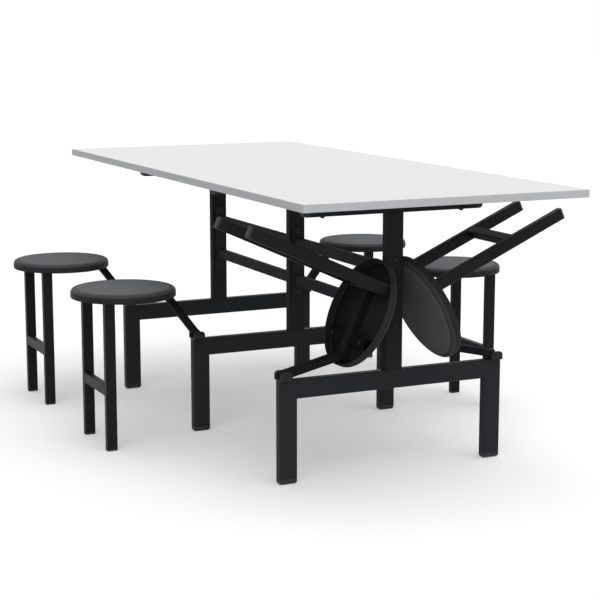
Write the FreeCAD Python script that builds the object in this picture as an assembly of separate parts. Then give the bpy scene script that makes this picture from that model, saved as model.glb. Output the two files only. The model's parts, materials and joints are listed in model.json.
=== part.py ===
import FreeCAD, Part
import math
import os

# Dining table on three cross frames with six stools that fold up on hinges.
# Millimetres. X runs along the table, Y across it and Z up from the floor.
# The origin lies on the floor under the middle of the table top.

# Table top
TOP_LENGTH = 1800.0
TOP_WIDTH = 800.0
TOP_HEIGHT = 760.0
TOP_THICK = 20.0
BAND_THICK = 2.0
BAND_CORNER_R = 2.0
BAND_EDGE = 0.8

# Cross frames of rectangular steel tube
FRAME_PITCH = 600.0
TUBE_WIDTH = 50.0
TUBE_DEPTH = 25.0
TUBE_R = 3.0
TUBE_WALL = 2.0
BASE_WIDTH = 660.0
BEAM_DROP = 166.0
LEG_FOOT_H = 14.0
LEG_FOOT_R = 8.0
LEG_PLUG = 22.0
PLUG_GAP = 0.2

# Bearers under the top
BEARER_LENGTH = 525.0
BEARER_TALL = 50.0
BEARER_CAP = 18.0
BEARER_END_R = 10.0
BEARER_BOLT_SPREAD = 408.0
INSERT_DEPTH = 12.0

# Rails between the posts
RAIL_TALL = 30.0
RAIL_DEEP = 20.0
RAIL_R = 2.5
RAIL_WALL = 1.5
RAIL_DROP = 152.5
RAIL_GAP = 110.0
PLATE_WIDTH = 30.0
PLATE_THICK = 5.0
PLATE_BELOW = 49.5
PLATE_ABOVE = 44.5
PLATE_BOLT_INSET = 15.0

# Fasteners
BOLT_R = 4.0
BOLT_HOLE_R = 4.2
BOLT_HEAD_R = 7.0
BOLT_HEAD_T = 4.5
BOLT_CROWN_R = 4.5
BOLT_KEY = 5.0
BOLT_KEY_DEPTH = 2.5
BOLT_TAIL = 3.0
NUT_ACROSS = 13.0
NUT_T = 6.5

# Hinges on the beam ends
HINGE_INSET = 17.0
HINGE_RISE = 12.0
BRACKET_WIDTH = 43.0
BRACKET_LENGTH = 33.0
BRACKET_BASE = 3.0
BRACKET_TOP = 10.5
BRACKET_CORNER_R = 10.0
ARM_SIDE_GAP = 0.5
PIN_R = 5.0
PIN_GAP = 0.05
PIN_HEAD_R = 6.5
PIN_HEAD_T = 2.5
PIN_HEAD_EDGE = 1.2

# Stools, measured with the stool down
SEAT_REACH = 222.0
SEAT_R = 148.0
SEAT_DROP = 15.0
SEAT_RIM = 25.0
SEAT_EDGE_R = 12.0
SEAT_FLOOR = 6.0
SEAT_WALL = 4.0
SEAT_INNER_EDGE = 4.0
ARM_WIDTH = 30.0
ARM_DEPTH = 20.0
ARM_ANGLE = 53.0
KNUCKLE_R = 8.4
KNUCKLE_REACH = 12.0
STOOL_TUBE_R = 2.5
STOOL_WALL = 1.5
SEAT_BAR_BACK = 73.0
SEAT_BAR_WIDTH = 30.0
SEAT_BAR_REACH = 103.0
LEG_PAIR_SPREAD = 200.0
LEG_REACH = 91.5
LEG_DEPTH = 30.0
LEG_WIDTH = 20.0
LEG_DROP = 5.0
RUNG_Z = 170.0
STOOL_FOOT_H = 6.0
STOOL_FOOT_EDGE = 1.5
STOOL_PLUG = 16.0
FOLD_GAP = 0.3

# Places that follow from the sizes; OUT is the distance from the table's middle plane
FRAMES = {"front": FRAME_PITCH, "middle": 0.0, "rear": -FRAME_PITCH}
SIDES = {"left": -1, "right": 1}
TOP_UNDER = TOP_HEIGHT - TOP_THICK
BEARER_BOTTOM = TOP_UNDER - BEARER_TALL
RAIL_UPPER_Z = BEARER_BOTTOM - RAIL_DROP
RAIL_LOWER_Z = RAIL_UPPER_Z - RAIL_GAP
PLATE_BOTTOM = RAIL_LOWER_Z - PLATE_BELOW
PLATE_TOP = RAIL_UPPER_Z + PLATE_ABOVE
SEAT_TOP = 0.6 * TOP_HEIGHT - SEAT_DROP
BEAM_TOP = SEAT_TOP - BEAM_DROP
BEAM_MID = BEAM_TOP - TUBE_WIDTH / 2
LEG_MID = BASE_WIDTH / 2 - TUBE_WIDTH / 2
HINGE_Z = BEAM_TOP + HINGE_RISE
HINGE_OUT = BASE_WIDTH / 2 - HINGE_INSET
SEAT_OUT = HINGE_OUT + SEAT_REACH
SEAT_BAR_OUT = SEAT_OUT - SEAT_BAR_BACK
LEG_OUTER = SEAT_OUT + LEG_REACH
SEAT_UNDER = SEAT_TOP - SEAT_FLOOR
SPINE_MID = SEAT_UNDER - ARM_DEPTH / 2
LEG_INNER = LEG_OUTER - LEG_DEPTH
FOLDED = ("front",)

X_DIR = FreeCAD.Vector(1, 0, 0)
Y_DIR = FreeCAD.Vector(0, 1, 0)
Z_DIR = FreeCAD.Vector(0, 0, 1)


def vec(x, y, z):
    """Point or direction."""
    return FreeCAD.Vector(x, y, z)


def bar(width, height, radius, length):
    """Bar along z from the origin, width along x, with its long edges rounded."""
    box = Part.makeBox(width, height, length, vec(-width / 2, -height / 2, 0))
    if radius <= 0:
        return box
    long_edges = [e for e in box.Edges if abs(e.Vertexes[0].Z - e.Vertexes[1].Z) > length / 2]
    return box.makeFillet(radius, long_edges)


def tube(width, height, radius, wall, length):
    """Bar with a straight bore that leaves the wall."""
    bore = bar(width - 2 * wall, height - 2 * wall, 0, length)
    return bar(width, height, radius, length).cut(bore)


def aimed(shape, start, along, side):
    """Shape built up z from the origin, moved to start with z turned along and x to the side."""
    turned = shape.copy()
    turn = FreeCAD.Rotation(side, along.cross(side), along, "ZXY")
    turned.Placement = FreeCAD.Placement(start, turn)
    return turned


def beyond(point, normal):
    """Block that fills the space past a plane; the normal lies in the YZ plane."""
    size = TOP_LENGTH
    block = Part.makeBox(size, size, size, vec(-size / 2, -size / 2, 0))
    return aimed(block, point, normal, X_DIR)


def moved(shape, x, y, z):
    """Copy of a shape at another place."""
    copy = shape.copy()
    copy.translate(vec(x, y, z))
    return copy


def hexagon(across, height):
    """Hexagonal prism on z = 0."""
    r = across / math.sqrt(3)
    points = [vec(r * math.cos(i * math.pi / 3), r * math.sin(i * math.pi / 3), 0) for i in range(7)]
    return Part.Face(Part.makePolygon(points)).extrude(vec(0, 0, height))


def button_bolt(shank):
    """Socket bolt with its seat on z = 0, its shank up z and its tapered head below."""
    head = Part.makeCone(BOLT_CROWN_R, BOLT_HEAD_R, BOLT_HEAD_T, vec(0, 0, -BOLT_HEAD_T))
    body = head.fuse(Part.makeCylinder(BOLT_R, shank)).removeSplitter()
    return body.cut(moved(hexagon(BOLT_KEY, BOLT_KEY_DEPTH), 0, 0, -BOLT_HEAD_T))


def hex_nut():
    """Nut on z = 0 with a plain bore for the bolt."""
    bore = Part.makeCylinder(BOLT_R + PIN_GAP, NUT_T)
    return hexagon(NUT_ACROSS, NUT_T).cut(bore)


def plugged(pad, width, height, wall, tall, plug):
    """Foot pad with a plug on its top that goes up the tube."""
    inset = 2 * (wall + PLUG_GAP)
    stem = bar(width - inset, height - inset, 0, plug)
    return pad.fuse(moved(stem, 0, 0, tall)).removeSplitter()


def low_edges(pad, tall):
    """Edges round the bottom of a foot pad."""
    return [e for e in pad.Edges if max(v.Z for v in e.Vertexes) < tall / 4]


def leg_foot():
    """Plastic foot of a frame leg, with its lower edges well rounded."""
    pad = bar(TUBE_DEPTH, TUBE_WIDTH, TUBE_R, LEG_FOOT_H)
    pad = pad.makeFillet(LEG_FOOT_R, low_edges(pad, LEG_FOOT_H))
    return plugged(pad, TUBE_DEPTH, TUBE_WIDTH, TUBE_WALL, LEG_FOOT_H, LEG_PLUG)


def cross_hole(x_mid, y, z, radius, length):
    """Cylinder along X for a hole through a tube."""
    return Part.makeCylinder(radius, length, vec(x_mid - length / 2, y, z), X_DIR)


def tabletop():
    """Board with blind holes for the bearer bolts, and the four strips of its edge band."""
    length = TOP_LENGTH - 2 * BAND_THICK
    width = TOP_WIDTH - 2 * BAND_THICK
    core = bar(length, width, 0, TOP_THICK)
    outer = bar(TOP_LENGTH, TOP_WIDTH, BAND_CORNER_R, TOP_THICK)
    rims = [e for e in outer.Edges if abs(e.Vertexes[0].Z - e.Vertexes[-1].Z) < 0.01]
    ring = outer.makeChamfer(BAND_EDGE, rims).cut(core)
    between = bar(TOP_LENGTH, width, 0, TOP_THICK)
    strips = ring.cut(between).Solids + ring.common(between).Solids
    for x in FRAMES.values():
        for side in SIDES.values():
            place = vec(x, side * BEARER_BOLT_SPREAD / 2, 0)
            core = core.cut(Part.makeCylinder(BOLT_HOLE_R, INSERT_DEPTH, place))
    return moved(core, 0, 0, TOP_UNDER), [moved(strip, 0, 0, TOP_UNDER) for strip in strips]


def bearer(x):
    """Tube under the top, drilled up and down for its two bolts."""
    half = BEARER_LENGTH / 2 - BEARER_CAP
    shape = tube(TUBE_DEPTH, BEARER_TALL, TUBE_R, TUBE_WALL, 2 * half)
    shape = aimed(shape, vec(x, -half, TOP_UNDER - BEARER_TALL / 2), Y_DIR, X_DIR)
    for side in SIDES.values():
        place = vec(x, side * BEARER_BOLT_SPREAD / 2, BEARER_BOTTOM)
        shape = shape.cut(Part.makeCylinder(BOLT_HOLE_R, BEARER_TALL, place))
    return shape


def bearer_cap(x, side):
    """Plug for a bearer's end, rounded off below."""
    inner = BEARER_LENGTH / 2 - BEARER_CAP
    block = aimed(bar(TUBE_DEPTH, BEARER_TALL, TUBE_R, BEARER_CAP), vec(0, 0, 0), Y_DIR, X_DIR)
    outline = Part.makeBox(TUBE_DEPTH, BEARER_CAP, BEARER_TALL, vec(-TUBE_DEPTH / 2, 0, -BEARER_TALL / 2))
    low_end = []
    for e in outline.Edges:
        if min(v.Y for v in e.Vertexes) > BEARER_CAP / 2 and max(v.Z for v in e.Vertexes) < 0:
            low_end.append(e)
    block = block.common(outline.makeFillet(BEARER_END_R, low_end))
    inset = 2 * (TUBE_WALL + PLUG_GAP)
    stem = bar(TUBE_DEPTH - inset, BEARER_TALL - inset, 0, BEARER_CAP)
    cap = block.fuse(aimed(stem, vec(0, -BEARER_CAP, 0), Y_DIR, X_DIR)).removeSplitter()
    cap.translate(vec(0, inner, TOP_UNDER - BEARER_TALL / 2))
    if side < 0:
        cap.rotate(vec(0, 0, 0), Z_DIR, 180)
    return moved(cap, x, 0, 0)


def post(x):
    """Upright tube from the beam to the bearer, drilled for the rail bolts."""
    shape = tube(TUBE_DEPTH, TUBE_WIDTH, TUBE_R, TUBE_WALL, BEARER_BOTTOM - BEAM_TOP)
    shape = moved(shape, x, 0, BEAM_TOP)
    for z in bolt_heights():
        shape = shape.cut(cross_hole(x, 0, z, BOLT_HOLE_R, 2 * TUBE_DEPTH))
    return shape


def bolt_heights():
    """Heights of the two bolts through each post."""
    return (PLATE_BOTTOM + PLATE_BOLT_INSET, PLATE_TOP - PLATE_BOLT_INSET)


def crossbeam(x):
    """Level tube of a cross frame, mitred into its legs at both ends."""
    half = BASE_WIDTH / 2
    shape = tube(TUBE_DEPTH, TUBE_WIDTH, TUBE_R, TUBE_WALL, BASE_WIDTH)
    shape = aimed(shape, vec(x, -half, BEAM_MID), Y_DIR, X_DIR)
    for side in SIDES.values():
        shape = shape.cut(beyond(vec(x, side * half, BEAM_TOP), vec(0, side, -1).normalize()))
    return shape


def frame_leg(x, side):
    """Leg of a cross frame, from its foot up to the mitre."""
    shape = tube(TUBE_DEPTH, TUBE_WIDTH, TUBE_R, TUBE_WALL, BEAM_TOP - LEG_FOOT_H)
    shape = moved(shape, x, side * LEG_MID, LEG_FOOT_H)
    corner = vec(x, side * BASE_WIDTH / 2, BEAM_TOP)
    return shape.cut(beyond(corner, vec(0, -side, 1).normalize()))


def rail(x_mid, z):
    """Rail between the end plates of one bay."""
    length = FRAME_PITCH - TUBE_DEPTH - 2 * PLATE_THICK
    shape = tube(RAIL_DEEP, RAIL_TALL, RAIL_R, RAIL_WALL, length)
    return aimed(shape, vec(x_mid - length / 2, 0, z), X_DIR, Y_DIR)


def end_plate(x_face, side):
    """Plate on a post's face, with its two bolt holes; side is the way it stands off the face."""
    x0 = x_face if side > 0 else x_face - PLATE_THICK
    size = vec(x0, -PLATE_WIDTH / 2, PLATE_BOTTOM)
    plate = Part.makeBox(PLATE_THICK, PLATE_WIDTH, PLATE_TOP - PLATE_BOTTOM, size)
    for z in bolt_heights():
        plate = plate.cut(cross_hole(x0, 0, z, BOLT_HOLE_R, 4 * PLATE_THICK))
    return plate


def post_fasteners():
    """Bolts through the posts from the front, and their nuts behind."""
    bolts = []
    nuts = []
    for name, x in FRAMES.items():
        head_x = x + TUBE_DEPTH / 2
        nut_x = x - TUBE_DEPTH / 2
        if name != "front":
            head_x += PLATE_THICK
        if name != "rear":
            nut_x -= PLATE_THICK
        for z in bolt_heights():
            bolt = button_bolt(head_x - nut_x + NUT_T + BOLT_TAIL)
            bolts.append(aimed(bolt, vec(head_x, 0, z), -X_DIR, Y_DIR))
            nuts.append(aimed(hex_nut(), vec(nut_x, 0, z), -X_DIR, Y_DIR))
    return bolts, nuts


def bracket():
    """Hinge channel for a right-hand beam end: a base with two ears, open at both ends."""
    top = HINGE_Z + BRACKET_TOP
    inner = BASE_WIDTH / 2 - BRACKET_LENGTH
    corner = vec(-BRACKET_WIDTH / 2, inner, BEAM_TOP)
    block = Part.makeBox(BRACKET_WIDTH, BRACKET_LENGTH, top - BEAM_TOP, corner)
    high = [e for e in block.Edges if min(v.Z for v in e.Vertexes) > HINGE_Z]
    ridge = [e for e in high if abs(e.tangentAt(0).x) > 0.9]
    block = block.makeFillet(BRACKET_CORNER_R, ridge)
    slot_width = ARM_WIDTH + 2 * ARM_SIDE_GAP
    slot_corner = vec(-slot_width / 2, 0, BEAM_TOP + BRACKET_BASE)
    block = block.cut(Part.makeBox(slot_width, BASE_WIDTH, top, slot_corner))
    return block.cut(cross_hole(0, HINGE_OUT, HINGE_Z, PIN_R + PIN_GAP, 2 * BRACKET_WIDTH))


def hinge_pin():
    """Pin through both ears with a low bevelled head at each end."""
    shape = cross_hole(0, HINGE_OUT, HINGE_Z, PIN_R, BRACKET_WIDTH)
    for side in (-1, 1):
        head = Part.makeCone(PIN_HEAD_R, PIN_HEAD_R - PIN_HEAD_EDGE, PIN_HEAD_T)
        place = vec(side * BRACKET_WIDTH / 2, HINGE_OUT, HINGE_Z)
        shape = shape.fuse(aimed(head, place, X_DIR * side, Y_DIR))
    return shape.removeSplitter()


def seat():
    """Round seat shell: a flat top, a rounded edge, a short rim and a hollow underside."""
    r = SEAT_R
    top = SEAT_TOP
    low = top - SEAT_RIM
    bore = r - SEAT_WALL
    e = SEAT_EDGE_R
    k = e * (1 - math.sqrt(0.5))
    edge_start = vec(r - e, 0, top)
    edge_end = vec(r, 0, top - e)
    inside = [
        edge_end,
        vec(r, 0, low),
        vec(bore, 0, low),
        vec(bore, 0, SEAT_UNDER - SEAT_INNER_EDGE),
        vec(bore - SEAT_INNER_EDGE, 0, SEAT_UNDER),
        vec(0, 0, SEAT_UNDER),
        vec(0, 0, top),
        edge_start,
    ]
    edge = Part.Arc(edge_start, vec(r - k, 0, top - k), edge_end).toShape()
    half = Part.Face(Part.Wire([edge] + Part.makePolygon(inside).Edges))
    return moved(half.revolve(vec(0, 0, 0), Z_DIR, 360), 0, SEAT_OUT, 0)


def arm():
    """Bent arm: a hinge knuckle, a sloping tube and a level spine, mitred where they meet."""
    slope = math.radians(ARM_ANGLE)
    up = vec(0, math.cos(slope), math.sin(slope))
    inward = vec(0, -math.sin(slope), math.cos(slope))
    pivot = vec(0, HINGE_OUT, HINGE_Z)
    inner = pivot + inward * KNUCKLE_R
    outer = pivot + inward * (KNUCKLE_R - ARM_DEPTH)
    high = inner + up * ((SEAT_UNDER - inner.z) / up.z)
    low = outer + up * ((SEAT_UNDER - ARM_DEPTH - outer.z) / up.z)
    cut_dir = vec(0, high.z - low.z, low.y - high.y).normalize()
    tube_start = pivot + inward * (KNUCKLE_R - ARM_DEPTH / 2) + up * KNUCKLE_REACH
    spine_start = vec(0, low.y - ARM_WIDTH, SPINE_MID)
    spine_length = LEG_INNER - spine_start.y
    length = spine_length + ARM_WIDTH

    def pair(width, depth, radius, gap):
        sloping = aimed(bar(width, depth, radius, length), tube_start + up * gap, up, X_DIR)
        level = aimed(bar(width, depth, radius, spine_length), spine_start, Y_DIR, X_DIR)
        return sloping.cut(beyond(low, cut_dir)), level.cut(beyond(low, cut_dir * -1))

    heel = [
        Part.Arc(inner, pivot - up * KNUCKLE_R, pivot - inward * KNUCKLE_R).toShape(),
        Part.makeLine(pivot - inward * KNUCKLE_R, outer + up * KNUCKLE_REACH),
        Part.makeLine(outer + up * KNUCKLE_REACH, inner + up * KNUCKLE_REACH),
        Part.makeLine(inner + up * KNUCKLE_REACH, inner),
    ]
    knuckle = Part.Face(Part.Wire(heel)).extrude(X_DIR * ARM_WIDTH)
    knuckle = moved(knuckle, -ARM_WIDTH / 2, 0, 0)
    solid = knuckle.fuse(pair(ARM_WIDTH, ARM_DEPTH, STOOL_TUBE_R, 0)).removeSplitter()
    bore_width = ARM_WIDTH - 2 * STOOL_WALL
    bore_depth = ARM_DEPTH - 2 * STOOL_WALL
    for hollow in pair(bore_width, bore_depth, 0, STOOL_WALL):
        solid = solid.cut(hollow)
    return solid.cut(cross_hole(0, HINGE_OUT, HINGE_Z, PIN_R + PIN_GAP, 2 * ARM_WIDTH))


def seat_bars():
    """Short bars that carry the seat on either side of the spine, closed at their outer ends."""
    length = SEAT_BAR_REACH - ARM_WIDTH / 2
    bore = bar(SEAT_BAR_WIDTH - 2 * STOOL_WALL, ARM_DEPTH - 2 * STOOL_WALL, 0, length - STOOL_WALL)
    stub = bar(SEAT_BAR_WIDTH, ARM_DEPTH, STOOL_TUBE_R, length).cut(bore)
    bars = []
    for side in (-1, 1):
        start = vec(side * ARM_WIDTH / 2, SEAT_BAR_OUT, SPINE_MID)
        bars.append(aimed(stub, start, X_DIR * side, Y_DIR))
    return bars


def stool_legs():
    """Pair of stool legs that end inside the seat's rim."""
    height = SEAT_UNDER - LEG_DROP - STOOL_FOOT_H
    leg = tube(LEG_WIDTH, LEG_DEPTH, STOOL_TUBE_R, STOOL_WALL, height)
    y = LEG_OUTER - LEG_DEPTH / 2
    return [moved(leg, side * LEG_PAIR_SPREAD / 2, y, STOOL_FOOT_H) for side in (-1, 1)]


def rungs():
    """Bar under the seat and stretcher below it, both between the legs."""
    length = LEG_PAIR_SPREAD - LEG_WIDTH
    rung = tube(LEG_DEPTH, LEG_WIDTH, STOOL_TUBE_R, STOOL_WALL, length)
    under_seat = vec(-length / 2, LEG_OUTER - LEG_DEPTH / 2, SPINE_MID)
    stretcher = vec(-length / 2, LEG_OUTER - LEG_WIDTH / 2, RUNG_Z)
    return [aimed(rung, under_seat, X_DIR, Y_DIR), aimed(rung, stretcher, X_DIR, Z_DIR)]


def stool_feet():
    """Plastic feet under the stool legs, with their lower edges bevelled."""
    pad = bar(LEG_WIDTH, LEG_DEPTH, STOOL_TUBE_R, STOOL_FOOT_H)
    pad = pad.makeChamfer(STOOL_FOOT_EDGE, low_edges(pad, STOOL_FOOT_H))
    pad = plugged(pad, LEG_WIDTH, LEG_DEPTH, STOOL_WALL, STOOL_FOOT_H, STOOL_PLUG)
    y = LEG_OUTER - LEG_DEPTH / 2
    return [moved(pad, side * LEG_PAIR_SPREAD / 2, y, 0) for side in (-1, 1)]


def fold_angle():
    """Turn that folds a stool, in degrees, until its seat meets the post or its arm lies level."""
    u = SEAT_OUT + SEAT_R - SEAT_EDGE_R - HINGE_OUT
    v = SEAT_TOP - SEAT_EDGE_R - HINGE_Z
    reach = TUBE_WIDTH / 2 + FOLD_GAP + SEAT_EDGE_R - HINGE_OUT
    at_post = math.degrees(math.acos(reach / math.hypot(u, v)) - math.atan2(v, u))
    return min(at_post, 180 - ARM_ANGLE)


def export(name, shapes):
    """Write one node: a single piece or a group of them."""
    Part.makeCompound(shapes).exportStep("parts/" + name + ".step")


def export_frame():
    """Write the table top and the three cross frames."""
    board, strips = tabletop()
    export("tabletop_board", [board])
    export("tabletop_edge_band", strips)
    caps = []
    feet = []
    brackets = []
    pins = []
    top_bolts = []
    pad = leg_foot()
    top_bolt = button_bolt(BEARER_TALL + INSERT_DEPTH - 1)
    for name, x in FRAMES.items():
        export("bearer_" + name, [bearer(x)])
        export("post_" + name, [post(x)])
        export("crossbeam_" + name, [crossbeam(x)])
        export("legs_" + name, [frame_leg(x, side) for side in SIDES.values()])
        for side in SIDES.values():
            caps.append(bearer_cap(x, side))
            feet.append(moved(pad, x, side * LEG_MID, 0))
            top_bolts.append(moved(top_bolt, x, side * BEARER_BOLT_SPREAD / 2, BEARER_BOTTOM))
            for shapes, shape in ((brackets, bracket()), (pins, hinge_pin())):
                if side < 0:
                    shape.rotate(vec(0, 0, 0), Z_DIR, 180)
                shapes.append(moved(shape, x, 0, 0))
    export("bearer_end_caps", caps)
    export("leg_feet", feet)
    export("bearer_bolts", top_bolts)
    export("hinge_brackets", brackets)
    export("hinge_pins", pins)


def export_rails():
    """Write the rails, their end plates and the bolts that hold them."""
    plates = []
    for name, x_mid in (("front", FRAME_PITCH / 2), ("rear", -FRAME_PITCH / 2)):
        export("rails_" + name, [rail(x_mid, RAIL_UPPER_Z), rail(x_mid, RAIL_LOWER_Z)])
        reach = FRAME_PITCH / 2 - TUBE_DEPTH / 2
        plates.append(end_plate(x_mid - reach, 1))
        plates.append(end_plate(x_mid + reach, -1))
    export("rail_end_plates", plates)
    bolts, nuts = post_fasteners()
    export("post_bolts", bolts)
    export("post_nuts", nuts)


def export_stools():
    """Write the six stools; the front pair is folded up against its post."""
    kit = {
        "seat": [seat()],
        "arm": [arm()],
        "seat_bars": seat_bars(),
        "legs": stool_legs(),
        "rungs": rungs(),
        "feet": stool_feet(),
    }
    for name, x in FRAMES.items():
        for side_name, side in SIDES.items():
            for piece, shapes in kit.items():
                placed = []
                for shape in shapes:
                    copy = shape.copy()
                    if name in FOLDED:
                        copy.rotate(vec(0, HINGE_OUT, HINGE_Z), X_DIR, fold_angle())
                    if side < 0:
                        copy.rotate(vec(0, 0, 0), Z_DIR, 180)
                    placed.append(moved(copy, x, 0, 0))
                export("stool_" + name + "_" + side_name + "_" + piece, placed)


os.makedirs("parts", exist_ok=True)
export_frame()
export_rails()
export_stools()
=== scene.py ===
"""Looks of a dining table with six fold-up stools: finishes, smooth seats, seat screws and studio."""
import json
import math
from collections import namedtuple

import bpy
import numpy as np
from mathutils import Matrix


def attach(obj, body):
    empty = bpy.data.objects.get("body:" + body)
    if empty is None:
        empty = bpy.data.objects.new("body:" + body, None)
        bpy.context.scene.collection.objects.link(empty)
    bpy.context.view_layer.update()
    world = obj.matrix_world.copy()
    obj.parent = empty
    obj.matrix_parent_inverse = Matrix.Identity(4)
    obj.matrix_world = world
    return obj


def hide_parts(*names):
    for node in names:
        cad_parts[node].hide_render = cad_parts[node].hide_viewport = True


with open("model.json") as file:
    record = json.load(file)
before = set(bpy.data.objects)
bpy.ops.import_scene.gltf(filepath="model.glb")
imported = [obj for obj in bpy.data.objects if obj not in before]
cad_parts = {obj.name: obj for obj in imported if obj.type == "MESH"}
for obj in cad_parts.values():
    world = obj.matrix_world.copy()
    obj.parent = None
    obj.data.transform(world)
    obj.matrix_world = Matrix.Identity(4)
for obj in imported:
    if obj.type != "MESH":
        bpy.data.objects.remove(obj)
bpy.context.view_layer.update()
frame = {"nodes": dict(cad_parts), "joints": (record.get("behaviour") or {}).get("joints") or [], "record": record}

# Places that the frame gives, in metres: each stool's hinge, and the middle of a seat that is down.
# OUT is the distance from the table's middle plane
FRAMES = ("front", "middle", "rear")
HINGES = {joint["child"]: joint for joint in frame["joints"]}
MOUNTS = {mount["name"]: mount for mount in frame["record"]["mounts"]}
HINGE_OUT, HINGE_Z = HINGES["stool_middle_right"]["pos_m"][1:]
SEAT_OUT, SEAT_TOP = MOUNTS["seat_middle_right_top"]["pos_m"][1:]

# Sizes of the solids that the scene's own pieces lie in or on, in metres
POST_HALF = 0.025
FOLD_GAP = 0.0003
SEAT_R = 0.148
SEAT_RIM = 0.025
SEAT_EDGE_R = 0.012
SEAT_FLOOR = 0.006
SEAT_WALL = 0.004
SEAT_BAR_OUT = 0.462
SEAT_BAR_DEPTH = 0.020

# Sizes of the scene's own pieces: seat lip and dish, pad, dark lining of painted shade and screws
SEAT_LIP_R = 0.0015
SEAT_INNER_R = 0.004
SEAT_FILM = 0.0005
PAD_R = 0.1335
PAD_GAP = 0.0018
PAD_EDGE = 0.0002
SCREW_SPREAD = 0.078
SCREW_R = 0.0055
SCREW_H = 0.0032
SCREW_ROUND = 0.0022
DRIVE_R = 0.0022
DRIVE_EDGE = 0.0004
DRIVE_DEPTH = 0.0016

# Points along the stretches of a profile, and segments round a turned piece
FLAT_POINTS = 8
EDGE_POINTS = 17
LIP_POINTS = 7
ROUND_POINTS = 9
SEAT_SEGMENTS = 128
SHADE_SHEET_SEGMENTS = 96
SCREW_SEGMENTS = 24

# Painted sheen: the upper part of the seat's rounded edge is paler, standing in for the light it catches.
# Its shade, and where it starts and how far it takes to full paleness, as shares of the edge's radius
SEAT_EDGE_PAINTED_SHEEN = 0.062
PAINTED_SHEEN_START = 0.2
PAINTED_SHEEN_FADE = 0.3

# Each finish, by the record's slot name or the scene's own: darker and lighter shade, blue cast,
# scales of the patches and the grain, lowest and highest roughness, bump strength, specular level
Look = namedtuple("Look", "dark light cast patch grain rough_low rough_high bump specular")
LOOKS = {
    "top_laminate": Look(0.760, 0.790, 0.01, 3.0, 1400.0, 0.42, 0.50, 0.03, 0.30),
    # Partly painted shade: the edge band is set darker than its own light grey, as its sides get less light
    "top_edge": Look(0.600, 0.640, 0.05, 8.0, 1200.0, 0.45, 0.55, 0.04, 0.30),
    "frame_black": Look(0.027, 0.030, 0.24, 5.0, 1100.0, 0.35, 0.45, 0.12, 0.06),
    # Painted shade: a less glossy, darker copy of the frame's finish for the rails, posts and bearers under the
    # top
    "rail_black": Look(0.025, 0.029, 0.22, 5.0, 1100.0, 0.50, 0.60, 0.15, 0.03),
    "stool_black": Look(0.015, 0.018, 0.26, 6.0, 1100.0, 0.35, 0.45, 0.12, 0.07),
    # Painted shade: a less glossy copy of the stools' finish for the arms, which sit in the seats' shadow
    "arm_black": Look(0.015, 0.018, 0.18, 6.0, 1100.0, 0.50, 0.60, 0.15, 0.01),
    # Painted shade: a much darker copy of the stools' finish for the seat bars inside the seats' hollows
    "bar_black": Look(0.005, 0.007, 0.05, 6.0, 1100.0, 0.50, 0.60, 0.15, 0.01),
    "hinge_black": Look(0.026, 0.031, 0.22, 9.0, 1300.0, 0.35, 0.45, 0.12, 0.10),
    # Painted shade: a darker, less glossy copy of the fastener finish for the screws inside the seats' hollows
    "screw_black": Look(0.016, 0.022, 0.10, 12.0, 1500.0, 0.45, 0.55, 0.04, 0.04),
    "fastener_black": Look(0.030, 0.040, 0.15, 12.0, 1500.0, 0.30, 0.40, 0.04, 0.20),
    "seat_plastic": Look(0.029, 0.033, 0.08, 7.0, 1500.0, 0.48, 0.56, 0.10, 0.05),
    "seat_pad": Look(0.128, 0.140, 0.09, 7.0, 1500.0, 0.60, 0.70, 0.20, 0.01),
    # Painted shade: a darker, rougher sheet over the floor of the seat's hollow underside
    "seat_lining": Look(0.022, 0.026, 0.03, 8.0, 900.0, 0.90, 0.98, 0.30, 0.03),
    "black_plastic": Look(0.043, 0.050, 0.15, 9.0, 1200.0, 0.48, 0.56, 0.15, 0.15),
}

# Surface effect that the finishes share: octaves of its noises, the scale of the roughness and the
# span of its noise, the grain's depth in metres, and the part of the blue cast that green gets
PATCH_DETAIL = 3.0
GRAIN_DETAIL = 2.0
ROUGH_DETAIL = 4.0
ROUGH_SCALE = 70.0
ROUGH_SPAN = (0.3, 0.7)
GRAIN_DEPTH = 0.0002
GREEN_SHARE = 0.45

# Soft lamps of the sky: the direction in which each one stands, and how bright it is
LAMP_NARROW = 16.0
SKY_LAMPS = {
    "high_front": ((0.342, 0.0, 0.940), 2.80),
    "high_rear": ((-0.259, 0.0, 0.966), 2.75),
    "right": ((0.0, 0.643, 0.766), 1.41),
    "low_front_left": ((0.641, -0.641, 0.423), 2.60),
    "low_front": ((0.866, 0.0, 0.500), 0.60),
    "high_front_right": ((0.354, 0.354, 0.866), 1.21),
    "low_front_right": ((0.641, 0.641, 0.423), 0.70),
}

# White of the sky where it is seen; the floor's shade where it is seen and where it only throws
# light back, and the glow that brings it up to white where it is seen
WHITE = (1.0, 1.0, 1.0, 1.0)
SKY_SEEN = 1.0
FLOOR_SEEN = 0.75
FLOOR_UNSEEN = 0.50
FLOOR_GLOW = 0.30
FLOOR_ROUGHNESS = 0.9
FLOOR_HALF = 40.0
FLOOR_DROP = 0.0004

# Camera of the photograph: place and reach in metres, angles in degrees, lens in millimetres
CAMERA_PLACE = (4.181918, -1.952102, 1.176891)
CAMERA_TILT = 80.005
CAMERA_TURN = 64.805
CAMERA_LENS = 94.796
CAMERA_SENSOR = 36.0
CAMERA_REACH = 200.0


def arc(centre, radius, start, end, count):
    """Points of an arc in the (r, z) plane: centre + radius * (cos t, sin t), t in degrees."""
    t = np.radians(np.linspace(start, end, count))
    return np.column_stack([centre[0] + radius * np.cos(t), centre[1] + radius * np.sin(t)])


def level_line(start, end, z):
    """Points of a level stretch of a profile: r in even steps from start to end, all at height z."""
    return np.column_stack([np.linspace(start, end, FLAT_POINTS), np.full(FLAT_POINTS, z)])


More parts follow.
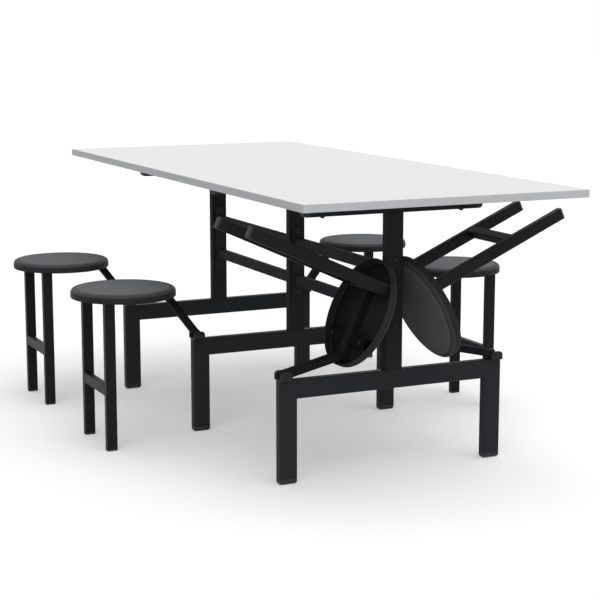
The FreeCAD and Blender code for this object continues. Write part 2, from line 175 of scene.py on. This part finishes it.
def turned(profile, segments):
    """Closed solid of revolution: each (r, z) of the profile swept round z as (r cos a, r sin a, z).

    The profile starts and ends on the axis, and its two end points become single pole points.
    """
    a = np.linspace(0.0, 2.0 * np.pi, segments, endpoint=False)
    rings = profile[1:-1]
    x = np.outer(rings[:, 0], np.cos(a))
    y = np.outer(rings[:, 0], np.sin(a))
    z = np.repeat(rings[:, 1:2], segments, axis=1)
    sides = np.stack([x, y, z], axis=-1).reshape(-1, 3)
    poles = np.array([[0.0, 0.0, profile[0, 1]], [0.0, 0.0, profile[-1, 1]]])
    points = np.vstack([sides, poles])
    this = np.arange(segments)
    after = (this + 1) % segments
    row = np.arange(len(rings) - 1)[:, None] * segments
    below = row + segments
    quads = np.stack([row + this, below + this, below + after, row + after], axis=-1).reshape(-1, 4)
    first_pole = np.full(segments, len(sides))
    last_pole = first_pole + 1
    last_ring = (len(rings) - 1) * segments
    first_fan = np.stack([first_pole, this, after], axis=-1)
    last_fan = np.stack([last_pole, last_ring + after, last_ring + this], axis=-1)
    return points, quads.tolist() + first_fan.tolist() + last_fan.tolist()


def fold_angle():
    """Turn in radians that brings the seat's far edge against the post's side."""
    u = SEAT_OUT + SEAT_R - SEAT_EDGE_R - HINGE_OUT
    v = SEAT_TOP - SEAT_EDGE_R - HINGE_Z
    reach = POST_HALF + FOLD_GAP + SEAT_EDGE_R - HINGE_OUT
    return math.acos(reach / math.hypot(u, v)) - math.atan2(v, u)


def on_stool(points, stool):
    """Points of a stool that stands down at x = 0 on the right, moved to this stool's place at rest.

    A stool whose range goes below zero rests folded: (y, z) rotates by the fold angle round the pin.
    A left stool is the right one turned half round z.
    """
    hinge_x, hinge_y = HINGES[stool]["pos_m"][:2]
    placed = points.copy()
    if min(HINGES[stool]["range_deg"]) < 0.0:
        t = fold_angle()
        y = placed[:, 1] - HINGE_OUT
        z = placed[:, 2] - HINGE_Z
        placed[:, 1] = HINGE_OUT + y * math.cos(t) - z * math.sin(t)
        placed[:, 2] = HINGE_Z + y * math.sin(t) + z * math.cos(t)
    if hinge_y < 0.0:
        placed[:, :2] *= -1.0
    placed[:, 0] += hinge_x
    return placed


def piece(name, points, faces, material, body, painted_sheen=None):
    """Smooth mesh piece with its place in its mesh, riding on a body; painted sheen is a value per point."""
    mesh = bpy.data.meshes.new(name)
    mesh.from_pydata(points.tolist(), [], faces)
    mesh.polygons.foreach_set("use_smooth", np.ones(len(mesh.polygons), bool))
    mesh.materials.append(material)
    # The painted sheen per point goes to the finish as an attribute
    if painted_sheen is not None:
        mesh.attributes.new("edge_tone", "FLOAT", "POINT").data.foreach_set("value", painted_sheen)
    mesh.update()
    obj = bpy.data.objects.new(name, mesh)
    bpy.context.scene.collection.objects.link(obj)
    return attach(obj, body)


def seat_profile():
    """Seat section: flat top with a bed for the pad, rounded edge, rim, lip and hollow underside."""
    under = SEAT_TOP - SEAT_FLOOR + SEAT_FILM
    lip_z = SEAT_TOP - SEAT_RIM + SEAT_LIP_R
    bore = SEAT_R - SEAT_WALL
    dish = bore - SEAT_INNER_R
    recess = PAD_R + PAD_GAP
    bed = SEAT_TOP - SEAT_FILM
    flat_top = level_line(0.0, recess - PAD_EDGE, bed)
    step = np.array([[recess, bed + PAD_EDGE], [recess, SEAT_TOP - PAD_EDGE], [recess + PAD_EDGE, SEAT_TOP]])
    edge = arc((SEAT_R - SEAT_EDGE_R, SEAT_TOP - SEAT_EDGE_R), SEAT_EDGE_R, 90, 0, EDGE_POINTS)
    lip_out = arc((SEAT_R - SEAT_LIP_R, lip_z), SEAT_LIP_R, 0, -90, LIP_POINTS)
    lip_in = arc((bore + SEAT_LIP_R, lip_z), SEAT_LIP_R, -90, -180, LIP_POINTS)
    corner = arc((dish, under - SEAT_INNER_R), SEAT_INNER_R, 0, 90, ROUND_POINTS)
    floor = level_line(dish, 0.0, under)[1:]
    return np.vstack([flat_top, step, edge, lip_out, lip_in, corner, floor])


def seat_painted_sheen(profile, segments):
    """Painted sheen of each seat point: one on the upper half of the rounded edge, fading to none at the rim.

    On the edge's arc the value is the height above the rim's end, as a share of the arc's radius,
    stretched so that the lowest fifth is dark and the upper half is pale.
    """
    share = (profile[:, 1] - (SEAT_TOP - SEAT_EDGE_R)) / SEAT_EDGE_R
    outside = profile[:, 0] > PAD_R + PAD_GAP
    value = np.where(outside, np.clip((share - PAINTED_SHEEN_START) / PAINTED_SHEEN_FADE, 0.0, 1.0), 0.0)
    # The second half of the profile is the lip and the underside
    value[len(value) // 2:] = 0.0
    return np.append(np.repeat(value[1:-1], segments), [value[0], value[-1]])


def pad_profile():
    """Section of the thin grained pad that lies in the seat's bed, with a fine edge."""
    low = SEAT_TOP - SEAT_FILM
    flat = level_line(0.0, PAD_R - PAD_EDGE, SEAT_TOP)
    rim = np.array([[PAD_R, SEAT_TOP - PAD_EDGE], [PAD_R, low], [0.0, low]])
    return np.vstack([flat, rim])


def shade_sheet_profile():
    """Section of the thin dark lining that covers the seat's underside, a sheet of painted shade for its hollow.
    """
    r = SEAT_R - SEAT_WALL - SEAT_INNER_R
    low = SEAT_TOP - SEAT_FLOOR
    return np.array([[0.0, low + SEAT_FILM], [r, low + SEAT_FILM], [r, low], [0.0, low]])


def screw_profile():
    """Pan-head screw section below a seat bar: domed head with a shallow drive recess."""
    base = SEAT_TOP - SEAT_FLOOR - SEAT_BAR_DEPTH
    end = base - SCREW_H
    seat = np.array([[0.0, base], [SCREW_R, base]])
    dome = arc((SCREW_R - SCREW_ROUND, end + SCREW_ROUND), SCREW_ROUND, 0, -90, ROUND_POINTS)
    drive = np.array([[DRIVE_R, end], [DRIVE_R - DRIVE_EDGE, end + DRIVE_EDGE], [0.0, end + DRIVE_DEPTH]])
    return np.vstack([seat, dome, drive])


def feed(links, socket, value):
    """Give a socket a plain number, or link it to another node's output."""
    if isinstance(value, float):
        socket.default_value = value
    else:
        links.new(value, socket)


def math_node(nodes, links, operation, *values):
    """Output of a Math node whose inputs are plain numbers or other nodes' outputs."""
    node = nodes.new("ShaderNodeMath")
    node.operation = operation
    for socket, value in zip(node.inputs, values):
        feed(links, socket, value)
    return node.outputs["Value"]


def noise(nodes, links, place, scale, detail):
    """Output of a noise over the piece's own coordinates."""
    node = nodes.new("ShaderNodeTexNoise")
    node.inputs["Detail"].default_value = detail
    links.new(place.outputs["Object"], node.inputs["Vector"])
    feed(links, node.inputs["Scale"], scale)
    return node.outputs["Fac"]


def surface_texture_group():
    """Shared effect: soft patches of colour, a fine grain, and a roughness that varies.

    Colour mixes two shades by a broad noise, height is a fine noise with finer octaves,
    and roughness runs from low to high with a middle-size noise.
    """
    group = bpy.data.node_groups.new("fine_surface", "ShaderNodeTree")
    sockets = group.interface
    for name in ("Shade A", "Shade B"):
        sockets.new_socket(name=name, in_out="INPUT", socket_type="NodeSocketColor")
    for name in ("Patch Scale", "Grain Scale", "Rough Low", "Rough High"):
        sockets.new_socket(name=name, in_out="INPUT", socket_type="NodeSocketFloat")
    sockets.new_socket(name="Color", in_out="OUTPUT", socket_type="NodeSocketColor")
    for name in ("Roughness", "Height"):
        sockets.new_socket(name=name, in_out="OUTPUT", socket_type="NodeSocketFloat")
    nodes, links = group.nodes, group.links
    given = nodes.new("NodeGroupInput")
    out = nodes.new("NodeGroupOutput")
    place = nodes.new("ShaderNodeTexCoord")
    patch = noise(nodes, links, place, given.outputs["Patch Scale"], PATCH_DETAIL)
    grain = noise(nodes, links, place, given.outputs["Grain Scale"], GRAIN_DETAIL)
    middle = noise(nodes, links, place, ROUGH_SCALE, ROUGH_DETAIL)
    mix = nodes.new("ShaderNodeMix")
    mix.data_type = "RGBA"
    links.new(patch, mix.inputs["Factor"])
    links.new(given.outputs["Shade A"], mix.inputs["A"])
    links.new(given.outputs["Shade B"], mix.inputs["B"])
    spread = nodes.new("ShaderNodeMapRange")
    spread.inputs["From Min"].default_value = ROUGH_SPAN[0]
    spread.inputs["From Max"].default_value = ROUGH_SPAN[1]
    links.new(middle, spread.inputs["Value"])
    links.new(given.outputs["Rough Low"], spread.inputs["To Min"])
    links.new(given.outputs["Rough High"], spread.inputs["To Max"])
    links.new(mix.outputs["Result"], out.inputs["Color"])
    links.new(spread.outputs["Result"], out.inputs["Roughness"])
    links.new(grain, out.inputs["Height"])
    return group


def tinted(value, cast):
    """Grey with a blue cast: blue is raised by the cast and green by a little under half of it."""
    return (value, value * (1.0 + GREEN_SHARE * cast), value * (1.0 + cast), 1.0)


def finish(name, group, look, edge=None):
    """Material of one finish: the shared surface effect with this finish's own values.

    A paler edge shade, painted sheen, is mixed in by the piece's own attribute.
    """
    material = bpy.data.materials.new(name)
    material.use_nodes = True
    nodes, links = material.node_tree.nodes, material.node_tree.links
    shader = nodes["Principled BSDF"]
    shader.inputs["Specular IOR Level"].default_value = look.specular
    effect = nodes.new("ShaderNodeGroup")
    effect.node_tree = group
    effect.inputs["Shade A"].default_value = tinted(look.dark, look.cast)
    effect.inputs["Shade B"].default_value = tinted(look.light, look.cast)
    effect.inputs["Patch Scale"].default_value = look.patch
    effect.inputs["Grain Scale"].default_value = look.grain
    effect.inputs["Rough Low"].default_value = look.rough_low
    effect.inputs["Rough High"].default_value = look.rough_high
    color = effect.outputs["Color"]
    # Painted sheen: the paler edge shade mixed in by the attribute
    if edge is not None:
        tone = nodes.new("ShaderNodeAttribute")
        tone.attribute_name = "edge_tone"
        blend = nodes.new("ShaderNodeMix")
        blend.data_type = "RGBA"
        blend.inputs["B"].default_value = tinted(edge, look.cast)
        links.new(tone.outputs["Fac"], blend.inputs["Factor"])
        links.new(color, blend.inputs["A"])
        color = blend.outputs["Result"]
    links.new(color, shader.inputs["Base Color"])
    links.new(effect.outputs["Roughness"], shader.inputs["Roughness"])
    relief = nodes.new("ShaderNodeBump")
    relief.inputs["Strength"].default_value = look.bump
    relief.inputs["Distance"].default_value = GRAIN_DEPTH
    links.new(effect.outputs["Height"], relief.inputs["Height"])
    links.new(relief.outputs["Normal"], shader.inputs["Normal"])
    return material


def finishes():
    """Every finish of the object, by name; the seat shell's has a paler edge of painted sheen."""
    group = surface_texture_group()
    painted_sheen_shades = {"seat_plastic": SEAT_EDGE_PAINTED_SHEEN}
    return {name: finish(name + "_finish", group, look, painted_sheen_shades.get(name)) for name, look in LOOKS.items()}


def painted_shade_looks():
    """Finish of each tube under the top and the seats: a rougher, less glossy copy of its slot's own, as painted
    shade.
    """
    looks = {"rails_front": "rail_black", "rails_rear": "rail_black"}
    for name in FRAMES:
        looks["post_" + name] = "rail_black"
        looks["bearer_" + name] = "rail_black"
    for stool in HINGES:
        looks[stool + "_arm"] = "arm_black"
        looks[stool + "_seat_bars"] = "bar_black"
    return looks


def dress_cad(materials):
    """Give every CAD node the finish of its slot, or its own rougher copy of painted shade."""
    shade_copies = painted_shade_looks()
    for row in frame["record"]["subparts"]:
        look = shade_copies.get(row["node"], row["material_slot"])
        node = frame["nodes"][row["node"]]
        node.data.materials.clear()
        node.data.materials.append(materials[look])


def add_stool_pieces(materials):
    """Smooth seats in place of the faceted ones, with their pads, dark linings of painted shade and screws."""
    profile = seat_profile()
    # Painted sheen of the seat's rounded edge, a value per point
    painted_sheen = seat_painted_sheen(profile, SEAT_SEGMENTS)
    seat_middle = np.array([0.0, SEAT_OUT, 0.0])
    seat_points, seat_faces = turned(profile, SEAT_SEGMENTS)
    pad_points, pad_faces = turned(pad_profile(), SEAT_SEGMENTS)
    shade_sheet_points, shade_sheet_faces = turned(shade_sheet_profile(), SHADE_SHEET_SEGMENTS)
    screw_points, screw_faces = turned(screw_profile(), SCREW_SEGMENTS)
    for stool in HINGES:
        seat = piece(stool + "_seat_shell", on_stool(seat_points + seat_middle, stool), seat_faces,
                     materials["seat_plastic"], stool, painted_sheen)
        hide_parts(stool + "_seat")
        piece(stool + "_seat_pad", on_stool(pad_points + seat_middle, stool), pad_faces,
              materials["seat_pad"], stool)
        # Dark lining over the seat's hollow: painted shade
        piece(stool + "_seat_lining", on_stool(shade_sheet_points + seat_middle, stool), shade_sheet_faces,
              materials["seat_lining"], stool)
        for number, x in enumerate((-SCREW_SPREAD, SCREW_SPREAD), 1):
            points = screw_points + np.array([x, SEAT_BAR_OUT, 0.0])
            # The screws take the darker copy of the fastener finish: painted shade
            piece(stool + "_seat_screw_%d" % number, on_stool(points, stool), screw_faces,
                  materials["screw_black"], stool)


def white_where_seen(nodes, links, seen, unseen):
    """Mix of two values by ray: the seen one for camera, glossy and transmission rays."""
    path = nodes.new("ShaderNodeLightPath").outputs
    straight = math_node(nodes, links, "MAXIMUM", path["Is Camera Ray"], path["Is Transmission Ray"])
    any_ray = math_node(nodes, links, "MAXIMUM", straight, path["Is Glossy Ray"])
    mix = nodes.new("ShaderNodeMix")
    mix.data_type = "FLOAT"
    links.new(any_ray, mix.inputs["Factor"])
    feed(links, mix.inputs["A"], unseen)
    feed(links, mix.inputs["B"], seen)
    return mix.outputs["Result"]


def add_floor():
    """Wide white floor just under the feet, a square of one face."""
    corners = np.array([[-1.0, -1.0], [1.0, -1.0], [1.0, 1.0], [-1.0, 1.0]]) * FLOOR_HALF
    points = np.column_stack([corners, np.full(len(corners), -FLOOR_DROP)])
    mesh = bpy.data.meshes.new("studio_floor")
    mesh.from_pydata(points.tolist(), [], [(0, 1, 2, 3)])
    floor = bpy.data.objects.new("studio_floor", mesh)
    bpy.context.scene.collection.objects.link(floor)
    paint = bpy.data.materials.new("studio_white")
    paint.use_nodes = True
    nodes, links = paint.node_tree.nodes, paint.node_tree.links
    shader = nodes["Principled BSDF"]
    shader.inputs["Roughness"].default_value = FLOOR_ROUGHNESS
    shader.inputs["Specular IOR Level"].default_value = 0.0
    level = white_where_seen(nodes, links, FLOOR_SEEN, FLOOR_UNSEEN)
    grey = nodes.new("ShaderNodeCombineColor")
    for channel in ("Red", "Green", "Blue"):
        links.new(level, grey.inputs[channel])
    links.new(grey.outputs["Color"], shader.inputs["Base Color"])
    shader.inputs["Emission Color"].default_value = WHITE
    glow = white_where_seen(nodes, links, FLOOR_GLOW, 0.0)
    links.new(glow, shader.inputs["Emission Strength"])
    mesh.materials.append(paint)


def add_sky():
    """Sky of soft lamps, plain white where it is seen.

    A lamp's glow in a direction is its brightness times the cosine to where it stands, raised to
    the lamps' narrowness. The lamps' glows are added up.
    """
    world = bpy.data.worlds.new("studio_sky")
    bpy.context.scene.world = world
    world.use_nodes = True
    nodes, links = world.node_tree.nodes, world.node_tree.links
    sky = nodes["Background"]
    sky.inputs["Color"].default_value = WHITE
    place = nodes.new("ShaderNodeTexCoord")
    total = 0.0
    for stand, brightness in SKY_LAMPS.values():
        facing = nodes.new("ShaderNodeVectorMath")
        facing.operation = "DOT_PRODUCT"
        facing.inputs[1].default_value = np.array(stand) / np.linalg.norm(stand)
        links.new(place.outputs["Generated"], facing.inputs[0])
        ahead = math_node(nodes, links, "MAXIMUM", facing.outputs["Value"], 0.0)
        glow = math_node(nodes, links, "POWER", ahead, LAMP_NARROW)
        total = math_node(nodes, links, "MULTIPLY_ADD", glow, brightness, total)
    level = white_where_seen(nodes, links, SKY_SEEN, total)
    links.new(level, sky.inputs["Strength"])


def add_camera():
    """Camera as fitted to the photograph, and plain colours on the screen."""
    lens = bpy.data.cameras.new("photo_camera")
    lens.sensor_width = CAMERA_SENSOR
    lens.lens = CAMERA_LENS
    lens.clip_end = CAMERA_REACH
    camera = bpy.data.objects.new("photo_camera", lens)
    camera.location = CAMERA_PLACE
    camera.rotation_euler = (math.radians(CAMERA_TILT), 0.0, math.radians(CAMERA_TURN))
    bpy.context.scene.collection.objects.link(camera)
    bpy.context.scene.camera = camera
    bpy.context.scene.view_settings.view_transform = "Standard"


materials = finishes()
dress_cad(materials)
add_stool_pieces(materials)
add_floor()
add_sky()
add_camera()
